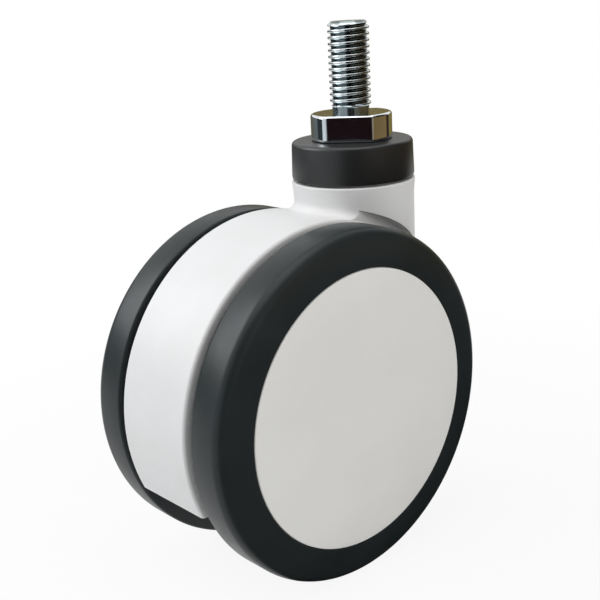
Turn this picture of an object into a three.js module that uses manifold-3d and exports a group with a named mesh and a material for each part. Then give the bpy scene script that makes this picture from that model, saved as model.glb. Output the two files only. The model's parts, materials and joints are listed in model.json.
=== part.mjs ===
// Twin-wheel swivel caster for a chair, with a threaded stem.
// Frame, in millimetres: the origin is on the swivel axis at the seat, which is the flat top of
// the collar. +Z runs up the stem, +X is the direction of travel and the axle lies along Y,
// behind the swivel axis by the trail.
import * as THREE from "three";
import { mergeVertices } from "three/addons/utils/BufferGeometryUtils.js";
import Module from "manifold-3d";

const wasm = await Module();
wasm.setup();

// ---------------------------------------------------------------- driving dimensions

// Overall
const wheelDiameter = 100;
const seatAboveTread = 26; // top of the wheels up to the seat
const trail = 27.2; // swivel axis to axle
const overallWidth = 58; // over both hub covers

// Threaded stem, M12 x 1.75
const threadDiameter = 11.8;
const threadPitch = 1.75;
const threadDepth = 0.85;
const threadForm = [0.26, 0.54, 0.72]; // end of root, start and end of crest, shares of the pitch
const stemLength = 25.5;
const stemChamfer = 1;
const reliefDiameter = 10.6;
const reliefLength = 2.3;

// Round collar with two flats for a spanner
const collarDiameter = 23.5;
const collarAcrossFlats = 19;
const collarHeight = 7.6;
const collarChamfer = 0.9;
const collarTurn = 38.9; // degrees, one flat's normal from +X

// Kingpin below the collar
const shoulderDiameter = 17;
const shankDiameter = 12;
const shankTipAboveAxle = 19.5;
const shankNose = 2; // below the retaining ring
const shankChamfer = 0.6;

// Dust cap
const capHeight = 10.8;
const capTop = 2.4;
const capWall = 1.9;
const capDraft = 0.3; // the skirt is this much smaller in radius at its top
const capEdge = 1; // rounding of the top edge
const capFoot = 0.8; // chamfer of the bottom edge, upwards
const capFootIn = 0.2; // and inwards

// Swivel bearing and the neck round it
const swivelBearingOuter = 28;
const swivelBearingHeadroom = 1.6; // cap ceiling down to the bearing
const spigotHeadroom = 1; // cap ceiling down to the spigot
const spigotWall = 1.7;
const neckProud = 0.2; // neck radius over cap radius
const neckDraft = 0.4; // the neck is this much slimmer at its foot
const neckEdge = 0.6;
const bearingLedge = 3.2; // width of the ledge under the outer race
const ledgeRelief = 1.5;

// Kingpin bush
const bushLength = 8;
const bushWall = 2;
const bushFlange = 2.4;
const bushFlangeThickness = 1.2;

// Housing
const housingProud = 0.3; // drum radius over wheel radius
const drumWall = 3;
const drumEdge = 1.3; // rounding of the drum's two edges
const drumSkirt = 20; // flat lower edge, below the axle
const sideGap = 2.45; // drum edge to wheel
const webThickness = 4;
const ribThickness = 2.2;
const ribInset = 1; // ribs stop short of the drum's edge
const ribAngles = [90, 135, 180]; // degrees about the axle, from +X upwards
const bossWall = 6;
const bossInset = 0.2;
const archClearance = 3.2; // over the tread, where the neck overhangs the wheels
const archInset = 0.5; // flat neck wall inside the drum's edge
const pinAccess = 1.6; // free space beside the kingpin's washer

// Wheels
const wheelWidth = 12.85;
const tyreHeight = 7; // tread down to the rim
const tyreSide = 10.4; // tread down to the hub cover
const treadEdge = 0.6; // rounding of the inner edge
const shoulderWidth = 3.1; // rounding of the outer shoulder, across the wheel
const shoulderDrop = 2.8; // and towards the axle
const shoulderSweep = 75; // degrees that the rounding turns through
const tyreSideRise = 1.2; // the side slopes out to the cover
const coverProud = 0.2; // cover face over tyre side
const rimInset = 0.5; // rim inside the tyre's inner edge
const rimThickness = 4;
const rimSeat = 2; // tyre lip over the rim's outer side
const discThickness = 3;
const hubWall = 3.5;
const hubLip = 1; // holds the outer race
const hubReach = 1.55; // hub beyond the tyre's inner edge, towards the boss
const wheelRibs = 8;
const wheelRibThickness = 2;
const wheelRibHeight = 2.8;

// Hub cover
const coverThickness = 1.8;
const coverDome = 0.2;
const coverEdge = 0.4;
const skirtDepth = 3.8;
const skirtThickness = 1.3;

// Axle and wheel bearings
const axleDiameter = 10;
const wheelBearingOuter = 26;
const axleNose = 0.6; // beyond the retaining ring
const axleChamfer = 0.5;

// Ball bearings
const ballShare = 0.595; // of the room between bore and outer diameter
const ballSide = 1.62; // ball to the bearing's end face
const raceLandShare = 0.55; // of a ball's radius, from the pitch circle
const ballCount = 8;
const cageWidth = 1.6;
const shieldThickness = 0.4;
const shieldInset = 0.5;

// Washers and retaining rings
const washerThickness = 1;
const washerWidth = 4;
const ringThickness = 1.1;
const ringWidth = 2.6;
const ringGrip = 0.4; // depth of the ring in its groove
const ringMouth = 40; // degrees left open

// Clearances
const pressClearance = 0.05; // pieces that stay together
const runningClearance = 0.08; // shafts in bushes
const ballClearance = 0.3;
const stackClearance = 0.1; // pieces stacked along a shaft
const seatGap = 0.2; // covers and caps in their seats
const swivelGap = 0.55; // dust cap to neck

// Sides of the polygons that stand for circles
const drumSides = 64;
const wheelSides = 40;
const shaftSides = 20;

// ---------------------------------------------------------------- derived sizes

const wheelRadius = wheelDiameter / 2;
const axleZ = -(seatAboveTread + wheelRadius);
const up = (aboveAxle) => axleZ + aboveAxle;

const shankRadius = shankDiameter / 2;
const axleRadius = axleDiameter / 2;

// Everything about one deep-groove bearing follows from its bore and outer diameter.
function bearingSizes(bore, outer) {
  const ball = (ballShare * (outer - bore)) / 4;
  return {
    bore: bore / 2,
    outer: outer / 2,
    width: 2 * (ball + ballSide),
    pitch: (bore + outer) / 4,
    ball,
    groove: ball + ballClearance,
    land: raceLandShare * ball,
  };
}

const swivelBearing = bearingSizes(shankDiameter, swivelBearingOuter);
const wheelBearing = bearingSizes(axleDiameter, wheelBearingOuter);

const capTopZ = -collarHeight;
const capFootZ = capTopZ - capHeight;
const capCeilingZ = capTopZ - capTop;
const spigotRadius = swivelBearingOuter / 2 + pressClearance + spigotWall;
const capRadius = spigotRadius + seatGap + capWall;
const neckTopZ = capFootZ - swivelGap;
const neckRadius = capRadius + neckProud;
const spigotTopZ = capCeilingZ - spigotHeadroom;
const swivelBearingTopZ = capCeilingZ - swivelBearingHeadroom;
const swivelBearingFootZ = swivelBearingTopZ - swivelBearing.width;

const shankTipZ = up(shankTipAboveAxle);
const shankRingZ = shankTipZ + shankNose;
const shankWasherZ = shankRingZ + ringThickness + stackClearance;
const bushFootZ = shankWasherZ + washerThickness + stackClearance;
const columnFootZ = bushFootZ + bushFlangeThickness + pressClearance;
const bushTopZ = columnFootZ + bushLength;
const bushRadius = shankRadius + bushWall;

const wheelOuterY = overallWidth / 2;
const tyreInnerY = wheelOuterY - wheelWidth;
const drumHalf = tyreInnerY - sideGap;
const drumRadius = wheelRadius + housingProud;
const drumInner = drumRadius - drumWall;
const neckHalf = drumHalf - archInset;
const bossRadius = axleRadius + bossWall;
const bossHalf = drumHalf - bossInset;

const rimRadius = wheelRadius - tyreHeight;
const coverRadius = wheelRadius - tyreSide - seatGap;
const tyreOuterY = wheelOuterY - coverProud;
const rimOuterY = tyreOuterY - rimSeat;
const rimInnerY = tyreInnerY + rimInset;
const hubInnerY = tyreInnerY - hubReach;
const wheelBearingY = hubInnerY + hubLip + stackClearance;
const wheelBearingEndY = wheelBearingY + wheelBearing.width;
const hubRadius = wheelBearingOuter / 2 + hubWall;
const axleWasherY = wheelBearingEndY + stackClearance;
const axleRingY = axleWasherY + washerThickness + stackClearance;
const axleHalf = axleRingY + ringThickness + axleNose;
const coverInnerY = wheelOuterY - coverThickness;

// ---------------------------------------------------------------- shape helpers

const radians = THREE.MathUtils.degToRad;

// Points of an arc in a profile, both ends included. Angles in degrees.
function arc(r, h, radius, from, to, steps) {
  return Array.from({ length: steps + 1 }, (_, i) => {
    const a = radians(from + ((to - from) * i) / steps);
    return [r + radius * Math.cos(a), h + radius * Math.sin(a)];
  });
}

// Revolves [radius, height] points about Y. A profile runs anticlockwise, outside on its right,
// and either starts and ends on the axis or is closed here.
function revolveY(profile, segments) {
  const points = profile.map(([r, h]) => new THREE.Vector2(r, h));
  if (profile[0][0] > 0) points.push(points[0].clone());
  return new THREE.LatheGeometry(points, segments);
}

// The same about Z.
function revolveZ(profile, segments) {
  return revolveY(profile, segments).rotateX(Math.PI / 2);
}

// A rectangular ring's profile.
function ringProfile(inner, outer, low, high) {
  return [
    [inner, low],
    [outer, low],
    [outer, high],
    [inner, high],
  ];
}

// A box between two corners.
function boxBetween(low, high) {
  const size = high.map((v, i) => v - low[i]);
  const middle = high.map((v, i) => (v + low[i]) / 2);
  return new THREE.BoxGeometry(...size).translate(...middle);
}

// A closed geometry as a solid for cutting and joining.
function solid(geometry) {
  const bare = geometry.clone();
  bare.deleteAttribute("normal");
  bare.deleteAttribute("uv");
  const merged = mergeVertices(bare, 1e-4);
  return new wasm.Manifold(
    new wasm.Mesh({
      numProp: 3,
      vertProperties: merged.attributes.position.array,
      triVerts: new Uint32Array(merged.index.array),
    }),
  );
}

// And back to a geometry.
function geometryOf(body) {
  const mesh = body.getMesh();
  const geometry = new THREE.BufferGeometry();
  geometry.setAttribute("position", new THREE.BufferAttribute(mesh.vertProperties, 3));
  geometry.setIndex(new THREE.BufferAttribute(mesh.triVerts, 1));
  const faceted = geometry.toNonIndexed();
  faceted.computeVertexNormals();
  return faceted;
}

// ---------------------------------------------------------------- materials and nodes

const finishes = {
  zinc: { color: 0xb9bfc2, roughness: 0.22, metalness: 1 },
  steel: { color: 0x9a9ea2, roughness: 0.3, metalness: 1 },
  tyre: { color: 0x3c4346, roughness: 0.62, metalness: 0 },
  shell: { color: 0xe4e4e2, roughness: 0.45, metalness: 0 },
  cap: { color: 0x3a3d3e, roughness: 0.55, metalness: 0 },
  core: { color: 0x26282a, roughness: 0.6, metalness: 0 },
  bush: { color: 0x8f8a7c, roughness: 0.5, metalness: 0 },
};

function node(name, geometry, finish) {
  const mesh = new THREE.Mesh(geometry, new THREE.MeshStandardMaterial(finishes[finish]));
  mesh.name = name;
  return mesh;
}

// ---------------------------------------------------------------- threaded stem

// A screw: each column of the profile is lifted by its share of the pitch, and the last column
// joins the first one a whole pitch higher.
function screw(rootRadius, crestRadius, lowZ, turns, columns) {
  const profile = [
    [0, rootRadius],
    [threadForm[0], rootRadius],
    [threadForm[1], crestRadius],
    [threadForm[2], crestRadius],
  ];
  const step = profile.length;
  const rows = step * turns + 1;
  const positions = [];
  const starts = [];
  for (let column = 0; column < columns; column++) {
    starts.push(positions.length / 3);
    const angle = (2 * Math.PI * column) / columns;
    const extra = column === 0 ? step : 0;
    for (let row = 0; row < rows + extra; row++) {
      const [share, radius] = profile[row % step];
      const turn = Math.floor(row / step) + share + column / columns;
      positions.push(radius * Math.cos(angle), radius * Math.sin(angle), lowZ + threadPitch * turn);
    }
  }
  const at = (column, row) => (column < columns ? starts[column] + row : starts[0] + row + step);
  const faces = [];
  for (let column = 0; column < columns; column++) {
    for (let row = 0; row < rows - 1; row++) {
      faces.push(at(column, row), at(column + 1, row), at(column + 1, row + 1));
      faces.push(at(column, row), at(column + 1, row + 1), at(column, row + 1));
    }
  }
  const close = (row, centreZ, facesUp) => {
    const loop = Array.from({ length: columns + 1 }, (_, column) => at(column, row));
    for (let back = step - 1; back > 0; back--) loop.push(at(0, row + back));
    const centre = positions.length / 3;
    positions.push(0, 0, centreZ);
    loop.forEach((vertex, i) => {
      const next = loop[(i + 1) % loop.length];
      faces.push(centre, ...(facesUp ? [vertex, next] : [next, vertex]));
    });
  };
  close(0, lowZ + threadPitch / 2, false);
  close(rows - 1, lowZ + threadPitch * (turns + 0.5), true);
  const geometry = new THREE.BufferGeometry();
  geometry.setAttribute("position", new THREE.Float32BufferAttribute(positions, 3));
  geometry.setIndex(faces);
  return geometry;
}

function threadedStem() {
  const crest = threadDiameter / 2;
  const relief = reliefDiameter / 2;
  const turns = Math.ceil(stemLength / threadPitch) + 3;
  const runOut = crest - relief;
  const blank = solid(
    revolveZ(
      [
        [0, reliefLength - runOut],
        [relief, reliefLength - runOut],
        [crest + runOut, reliefLength + runOut],
        [crest + runOut, stemLength - stemChamfer - runOut],
        [crest - stemChamfer, stemLength],
        [0, stemLength],
      ],
      shaftSides,
    ),
  );
  const turning = screw(crest - threadDepth, crest, -2 * threadPitch, turns, shaftSides / 2);
  const thread = solid(turning).intersect(blank);

  // Both the round and the two flats are chamfered at the collar's top and bottom faces.
  const chamfered = (reach) => [
    [reach - collarChamfer, -collarHeight],
    [reach, collarChamfer - collarHeight],
    [reach, -collarChamfer],
    [reach - collarChamfer, 0],
  ];
  const turned = revolveZ([[0, -collarHeight], ...chamfered(collarDiameter / 2), [0, 0]], wheelSides);
  const section = chamfered(collarAcrossFlats / 2);
  const mirrored = section.map(([r, h]) => [-r, h]).reverse();
  const outline = new THREE.Shape([...section, ...mirrored].map(([r, h]) => new THREE.Vector2(r, h)));
  const flats = new THREE.ExtrudeGeometry(outline, { depth: collarDiameter, bevelEnabled: false })
    .translate(0, 0, -collarDiameter / 2)
    .rotateX(Math.PI / 2)
    .rotateZ(radians(collarTurn));
  const collar = solid(flats).intersect(solid(turned));

  const shoulder = shoulderDiameter / 2;
  const groove = shankRadius - ringGrip;
  const pin = solid(
    revolveZ(
      [
        [0, shankTipZ],
        [shankRadius - shankChamfer, shankTipZ],
        [shankRadius, shankTipZ + shankChamfer],
        [shankRadius, shankRingZ - stackClearance],
        [groove, shankRingZ - stackClearance],
        [groove, shankRingZ + ringThickness + stackClearance / 2],
        [shankRadius, shankRingZ + ringThickness + stackClearance / 2],
        [shankRadius, swivelBearingTopZ],
        [shoulder, swivelBearingTopZ],
        [shoulder, -collarHeight / 2],
        [relief, -collarHeight / 2],
        [relief, reliefLength],
        [0, reliefLength],
      ],
      shaftSides,
    ),
  );
  return node("threaded_stem", geometryOf(pin.add(collar).add(thread)), "zinc");
}

// ---------------------------------------------------------------- dust cap

function dustCap() {
  const topRadius = capRadius - capDraft;
  const inner = spigotRadius + seatGap;
  const hole = shoulderDiameter / 2 + pressClearance;
  return node(
    "dust_cap",
    revolveZ(
      [
        [inner, capFootZ],
        [capRadius - capFootIn, capFootZ],
        [capRadius, capFootZ + capFoot],
        ...arc(topRadius - capEdge, capTopZ - capEdge, capEdge, 0, 90, 2),
        [hole, capTopZ],
        [hole, capCeilingZ],
        [inner, capCeilingZ],
      ],
      wheelSides,
    ),
    "cap",
  );
}

// ---------------------------------------------------------------- ball bearings

// Each piece below lies along Y, from height 0 to the bearing's width.
function innerRace(b) {
  const swing = THREE.MathUtils.radToDeg(Math.acos(b.land / b.groove));
  return revolveY(
    [
      [b.bore + pressClearance, 0],
      [b.pitch - b.land, 0],
      ...arc(b.pitch, b.width / 2, b.groove, 180 + swing, 180 - swing, 4),
      [b.pitch - b.land, b.width],
      [b.bore + pressClearance, b.width],
    ],
    shaftSides,
  );
}

function outerRace(b) {
  const swing = THREE.MathUtils.radToDeg(Math.acos(b.land / b.groove));
  return revolveY(
    [
      [b.pitch + b.land, 0],
      [b.outer, 0],
      [b.outer, b.width],
      [b.pitch + b.land, b.width],
      ...arc(b.pitch, b.width / 2, b.groove, swing, -swing, 4),
    ],
    shaftSides,
  );
}

function shield(b, low) {
  const inner = b.pitch - b.land + ballClearance;
  const outer = b.pitch + b.land - pressClearance;
  return revolveY(ringProfile(inner, outer, low, low + shieldThickness), shaftSides);
}

// The balls and the cage that carries them.
function ballSet(b) {
  const cage = ringProfile(
    b.pitch - cageWidth / 4,
    b.pitch + cageWidth / 4,
    (b.width - cageWidth) / 2,
    (b.width + cageWidth) / 2,
  );
  let set = solid(revolveY(cage, shaftSides));
  for (let i = 0; i < ballCount; i++) {
    const ball = new THREE.SphereGeometry(b.ball, 6, 4)
      .translate(b.pitch, b.width / 2, 0)
      .rotateY((2 * Math.PI * i) / ballCount);
    set = set.add(solid(ball));
  }
  return geometryOf(set);
}

const farShield = (b) => b.width - shieldInset - shieldThickness;

// ---------------------------------------------------------------- washers and retaining rings

function washer(inner, low) {
  const radius = inner + runningClearance;
  return revolveY(ringProfile(radius, inner + washerWidth, low, low + washerThickness), shaftSides);
}

// An open ring that springs into a groove, lying along +Z from height 0.
function retainingRing(shaft) {
  const inner = shaft - ringGrip + pressClearance;
  const outer = inner + ringWidth;
  const half = radians(ringMouth / 2);
  const outline = new THREE.Shape();
  outline.absarc(0, 0, outer, half, 2 * Math.PI - half, false);
  outline.absarc(0, 0, inner, 2 * Math.PI - half, half, true);
  outline.closePath();
  return new THREE.ExtrudeGeometry(outline, {
    depth: ringThickness,
    bevelEnabled: false,
    curveSegments: shaftSides / 2,
  });
}

// ---------------------------------------------------------------- housing

// The drum's rim, closed all round before the lower opening is cut.
function drumRim() {
  const low = -drumHalf + drumEdge;
  const high = drumHalf - drumEdge;
  const edge = drumRadius - drumEdge;
  return revolveY(
    [
      [drumInner, -drumHalf],
      ...arc(edge, low, drumEdge, -90, 0, 2),
      ...arc(edge, high, drumEdge, 0, 90, 2),
      [drumInner, drumHalf],
    ],
    drumSides,
  );
}

function neckColumn() {
  const foot = neckRadius - neckDraft;
  return revolveZ(
    [
      [0, columnFootZ],
      [foot, columnFootZ],
      [foot, up(wheelRadius - neckEdge)],
      ...arc(neckRadius - neckEdge, neckTopZ - neckEdge, neckEdge, 0, 90, 2),
      [spigotRadius, neckTopZ],
      [spigotRadius, spigotTopZ],
      [0, spigotTopZ],
    ],
    wheelSides,
  );
}

// Everything that passes down the middle of the neck.
function neckBore() {
  const seat = swivelBearingOuter / 2 + pressClearance;
  const ledge = seat - bearingLedge;
  const ledgeZ = swivelBearingFootZ - stackClearance;
  return revolveZ(
    [
      [0, columnFootZ - 1],
      [bushRadius + pressClearance, columnFootZ - 1],
      [bushRadius + pressClearance, bushTopZ + stackClearance],
      [shankRadius + seatGap, bushTopZ + stackClearance],
      [shankRadius + seatGap, ledgeZ - ledgeRelief],
      [ledge, ledgeZ - ledgeRelief],
      [ledge, ledgeZ],
      [seat, ledgeZ],
      [seat, spigotTopZ + 1],
      [0, spigotTopZ + 1],
    ],
    wheelSides,
  );
}

function housing() {
  const toAxle = (geometry) => geometry.translate(-trail, 0, axleZ);
  const discProfile = (radius, low, high) => [
    [0, low],
    [radius, low],
    [radius, high],
    [0, high],
  ];
  const intoRim = drumInner + drumWall / 4;
  const accessX = -(shankRadius + washerWidth + pinAccess);

  // The web stops in front of the kingpin's end, to leave room for its washer and ring.
  const half = webThickness / 2;
  const web = solid(toAxle(revolveY(discProfile(intoRim, -half, half), drumSides)));
  const access = solid(
    boxBetween([accessX, -webThickness, up(-drumRadius)], [drumRadius, webThickness, columnFootZ + 1]),
  );
  const boss = solid(toAxle(revolveY(discProfile(bossRadius, -bossHalf, bossHalf), shaftSides)));

  // Where the neck overhangs the wheels it is arched over them.
  const overhang = (side) => {
    const near = side > 0 ? neckHalf : -wheelOuterY;
    const far = side > 0 ? wheelOuterY : -neckHalf;
    return solid(toAxle(revolveY(discProfile(wheelRadius + archClearance, near, far), drumSides)));
  };
  const neck = solid(neckColumn()).subtract(overhang(1)).subtract(overhang(-1));

  let body = solid(toAxle(drumRim())).add(web.subtract(access)).add(boss).add(neck);
  for (const angle of ribAngles) {
    const ribHalf = drumHalf - ribInset;
    const rib = boxBetween(
      [axleRadius + bossWall / 2, -ribHalf, -ribThickness / 2],
      [intoRim, ribHalf, ribThickness / 2],
    ).rotateY(-radians(angle));
    body = body.add(solid(toAxle(rib)));
  }

  const axleBore = discProfile(axleRadius + pressClearance, -drumRadius, drumRadius);
  const below = boxBetween(
    [-2 * drumRadius, -drumRadius, up(-2 * drumRadius)],
    [2 * drumRadius, drumRadius, up(-drumSkirt)],
  );
  body = body
    .subtract(solid(neckBore()))
    .subtract(solid(toAxle(revolveY(axleBore, shaftSides))))
    .subtract(solid(below));
  return node("housing", geometryOf(body), "shell");
}

function kingpinBush() {
  const bore = shankRadius + runningClearance;
  return node(
    "kingpin_bush",
    revolveZ(
      [
        [bore, bushFootZ],
        [bushRadius + bushFlange, bushFootZ],
        [bushRadius + bushFlange, bushFootZ + bushFlangeThickness],
        [bushRadius, bushFootZ + bushFlangeThickness],
        [bushRadius, bushTopZ],
        [bore, bushTopZ],
      ],
      shaftSides,
    ),
    "bush",
  );
}

function axle() {
  const groove = axleRadius - ringGrip;
  const ringStart = axleRingY - stackClearance / 2;
  const ringEnd = axleRingY + ringThickness + stackClearance / 2;
  const half = [
    [groove, ringStart],
    [groove, ringEnd],
    [axleRadius, ringEnd],
    [axleRadius, axleHalf - axleChamfer],
    [axleRadius - axleChamfer, axleHalf],
    [0, axleHalf],
  ];
  const rising = [[axleRadius, ringStart], ...half];
  const falling = rising.map(([r, h]) => [r, -h]).reverse();
  return node("axle", revolveY([...falling, ...rising], shaftSides), "steel");
}

// ---------------------------------------------------------------- wheels, drawn along +Y

function tyre() {
  const lip = coverRadius + seatGap;
  const shoulderY = tyreOuterY - tyreSideRise - shoulderWidth;
  const sweep = radians(shoulderSweep);
  const steps = 3;
  const shoulder = Array.from({ length: steps + 1 }, (_, i) => {
    const a = (sweep * i) / steps;
    return [
      wheelRadius - (shoulderDrop * (1 - Math.cos(a))) / (1 - Math.cos(sweep)),
      shoulderY + (shoulderWidth * Math.sin(a)) / Math.sin(sweep),
    ];
  });
  return revolveY(
    [
      [rimRadius, tyreInnerY],
      ...arc(wheelRadius - treadEdge, tyreInnerY + treadEdge, treadEdge, -90, 0, 2),
      ...shoulder,
      [lip, tyreOuterY],
      [lip, rimOuterY],
      [rimRadius, rimOuterY],
    ],
    wheelSides,
  );
}

function wheelCore() {
  const bore = wheelBearingOuter / 2 + pressClearance;
  const lip = bore - hubLip - pressClearance;
  const rimOuter = rimRadius - pressClearance;
  const rimInner = rimRadius - rimThickness;
  const rimTop = rimOuterY - stackClearance;
  const discTop = rimInnerY + discThickness;
  let body = solid(
    revolveY(
      [
        [lip, hubInnerY],
        [hubRadius, hubInnerY],
        [hubRadius, rimInnerY],
        [rimOuter, rimInnerY],
        [rimOuter, rimTop],
        [rimInner, rimTop],
        [rimInner, discTop],
        [hubRadius, discTop],
        [hubRadius, wheelBearingEndY],
        [bore, wheelBearingEndY],
        [bore, hubInnerY + hubLip],
        [lip, hubInnerY + hubLip],
      ],
      wheelSides,
    ),
  );
  for (let i = 0; i < wheelRibs; i++) {
    const rib = boxBetween(
      [hubRadius - hubWall / 2, discTop - discThickness / 2, -wheelRibThickness / 2],
      [rimInner + rimThickness / 2, discTop + wheelRibHeight, wheelRibThickness / 2],
    ).rotateY((2 * Math.PI * i) / wheelRibs);
    body = body.add(solid(rib));
  }
  return geometryOf(body);
}

function hubCover() {
  const skirtOuter = rimRadius - rimThickness - seatGap;
  const skirtInner = skirtOuter - skirtThickness;
  const flangeY = rimOuterY + seatGap / 2;
  const edgeY = wheelOuterY - coverDome;
  return revolveY(
    [
      [0, coverInnerY],
      [skirtInner, coverInnerY],
      [skirtInner, coverInnerY - skirtDepth],
      [skirtOuter, coverInnerY - skirtDepth],
      [skirtOuter, flangeY],
      [coverRadius, flangeY],
      ...arc(coverRadius - coverEdge, edgeY - coverEdge, coverEdge, 0, 90, 2),
      [0, wheelOuterY],
    ],
    wheelSides,
  );
}

// One wheel's nodes and the pieces on its end of the axle.
function wheelSide(side, turn) {
  const named = (piece, geometry, finish) => node(`${side}_${piece}`, geometry, finish);
  const atBearing = (geometry) => geometry.translate(0, wheelBearingY, 0);
  const spacer = ringProfile(
    axleRadius + pressClearance,
    wheelBearing.pitch - wheelBearing.land,
    bossHalf + stackClearance / 2,
    wheelBearingY - stackClearance / 2,
  );
  const ring = retainingRing(axleRadius)
    .rotateX(-Math.PI / 2)
    .translate(0, axleRingY, 0);
  const group = new THREE.Group();
  group.position.set(-trail, 0, axleZ);
  group.rotation.z = turn;
  group.add(
    named("tyre", tyre(), "tyre"),
    named("wheel_core", wheelCore(), "core"),
    named("hub_cover", hubCover(), "shell"),
    named("bearing_outer_race", atBearing(outerRace(wheelBearing)), "steel"),
    named("bearing_inner_race", atBearing(innerRace(wheelBearing)), "steel"),
    named("bearing_ball_set", atBearing(ballSet(wheelBearing)), "steel"),
    named("bearing_inner_shield", atBearing(shield(wheelBearing, shieldInset)), "steel"),
    named("bearing_outer_shield", atBearing(shield(wheelBearing, farShield(wheelBearing))), "steel"),
    named("axle_spacer", revolveY(spacer, shaftSides), "steel"),
    named("axle_washer", washer(axleRadius, axleWasherY), "zinc"),
    named("axle_retaining_ring", ring, "steel"),
  );
  return group;
}

// ---------------------------------------------------------------- assembly

function swivelSide() {
  const upright = (geometry) => geometry.rotateX(Math.PI / 2);
  const atBearing = (geometry) => upright(geometry).translate(0, 0, swivelBearingFootZ);
  const group = new THREE.Group();
  group.add(
    threadedStem(),
    dustCap(),
    node("swivel_bearing_outer_race", atBearing(outerRace(swivelBearing)), "steel"),
    node("swivel_bearing_inner_race", atBearing(innerRace(swivelBearing)), "steel"),
    node("swivel_bearing_ball_set", atBearing(ballSet(swivelBearing)), "steel"),
    node("swivel_bearing_lower_shield", atBearing(shield(swivelBearing, shieldInset)), "steel"),
    node(
      "swivel_bearing_upper_shield",
      atBearing(shield(swivelBearing, farShield(swivelBearing))),
      "steel",
    ),
    kingpinBush(),
    node("kingpin_washer", upright(washer(shankRadius, shankWasherZ)), "zinc"),
    node(
      "kingpin_retaining_ring",
      retainingRing(shankRadius).translate(0, 0, shankRingZ),
      "steel",
    ),
  );
  return group;
}

function caster() {
  const lower = new THREE.Group();
  const axlePiece = axle();
  axlePiece.position.set(-trail, 0, axleZ);
  lower.add(housing(), axlePiece);
  const group = new THREE.Group();
  group.add(swivelSide(), lower, wheelSide("left", 0), wheelSide("right", Math.PI));
  return group;
}

export default caster();
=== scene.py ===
# %% [markdown]
# # A twin-wheel chair caster
#
# This lesson dresses a finished engineering model of a swivel caster: a white nylon housing
# between two dark wheels, on a bearing under a threaded steel stem. The engineering model
# settles every size and every moving joint. Here each piece that shows gets its final shape and
# finish, and the rest of the pieces get a finish.

import json
import math

import bmesh
import bpy
from mathutils import Matrix, Vector


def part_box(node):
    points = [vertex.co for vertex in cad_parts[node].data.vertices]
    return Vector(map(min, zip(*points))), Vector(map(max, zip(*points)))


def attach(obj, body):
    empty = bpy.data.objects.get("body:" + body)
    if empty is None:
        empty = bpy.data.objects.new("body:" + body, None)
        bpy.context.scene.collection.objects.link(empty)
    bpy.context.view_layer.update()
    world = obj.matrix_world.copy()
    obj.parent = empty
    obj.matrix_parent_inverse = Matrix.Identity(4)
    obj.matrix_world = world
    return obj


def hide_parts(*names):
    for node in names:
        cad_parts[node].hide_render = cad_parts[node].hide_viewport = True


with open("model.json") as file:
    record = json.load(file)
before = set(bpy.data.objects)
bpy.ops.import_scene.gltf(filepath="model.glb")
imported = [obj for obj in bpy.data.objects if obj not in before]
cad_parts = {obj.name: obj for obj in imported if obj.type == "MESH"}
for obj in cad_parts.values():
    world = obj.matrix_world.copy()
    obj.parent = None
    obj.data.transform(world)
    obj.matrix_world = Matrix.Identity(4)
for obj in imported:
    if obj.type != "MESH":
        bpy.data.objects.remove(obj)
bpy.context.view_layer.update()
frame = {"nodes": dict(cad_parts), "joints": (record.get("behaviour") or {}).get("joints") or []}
print("nodes:", len(frame["nodes"]))

# %% [markdown]
# The camera comes first, so that every later step can be looked at. It stands behind and to the
# side of the caster, a little above it, and leans slightly. Its direction is a unit vector from
# the object, made from the two angles, and the other two axes follow from it.

# %% Camera
AZIMUTH = math.radians(-41.733)
ELEVATION = math.radians(16.926)
LEAN = math.radians(-2.974)
LENS_MM = 62.22
CAMERA_PLACE = Vector((-0.21358, -0.213194, 0.035962))

backwards = Vector(
    (
        math.sin(AZIMUTH) * math.cos(ELEVATION),
        -math.cos(AZIMUTH) * math.cos(ELEVATION),
        math.sin(ELEVATION),
    )
)
level = Vector((math.cos(AZIMUTH), math.sin(AZIMUTH), 0))
upright = backwards.cross(level)
right = level * math.cos(LEAN) + upright * math.sin(LEAN)
above = upright * math.cos(LEAN) - level * math.sin(LEAN)

camera_data = bpy.data.cameras.new("camera")
camera_data.lens = LENS_MM
camera_data.clip_start = 0.01
camera = bpy.data.objects.new("camera", camera_data)
turn = Matrix((right, above, backwards)).transposed().to_4x4()
camera.matrix_world = Matrix.Translation(CAMERA_PLACE) @ turn
bpy.context.scene.collection.objects.link(camera)
bpy.context.scene.camera = camera
print("camera stands", round(CAMERA_PLACE.length, 3), "m from the seat")

# %% [markdown]
# Drawings of a caster are in millimetres and Blender works in metres, so lengths are written in
# millimetres and changed once. The round pieces turn about two axes: the swivel axis, which runs
# through the origin, and the axle behind and below it, whose place is that of a wheel's joint.
# The housing's box is as wide as its neck and doesn't give the narrower drum, so half of the
# drum's width is written here.

# %% Measures from the engineering model
MM = 0.001
WHOLE_TURN = 2 * math.pi


def millimetres(vector):
    """A place in metres, as three numbers in millimetres."""
    return [value / MM for value in vector]


joints = {joint["name"]: joint for joint in frame["joints"]}
axle_x, _, axle_z = millimetres(joints["left_roll"]["pos_m"])

tyre_low, tyre_high = (millimetres(corner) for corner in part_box("left_tyre"))
cover_low, cover_high = (millimetres(corner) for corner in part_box("left_hub_cover"))
core_low, core_high = (millimetres(corner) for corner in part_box("left_wheel_core"))
cap_low, cap_high = (millimetres(corner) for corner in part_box("dust_cap"))
stem_low, stem_high = (millimetres(corner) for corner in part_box("threaded_stem"))
housing_low = millimetres(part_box("housing")[0])

wheel_radius = (tyre_high[2] - tyre_low[2]) / 2
drum_radius = axle_x - housing_low[0]
DRUM_HALF = 13.7
print(f"axle {axle_x:.1f}, {axle_z:.1f} mm; wheel {wheel_radius:.1f} mm; drum {drum_radius:.1f} mm")

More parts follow.
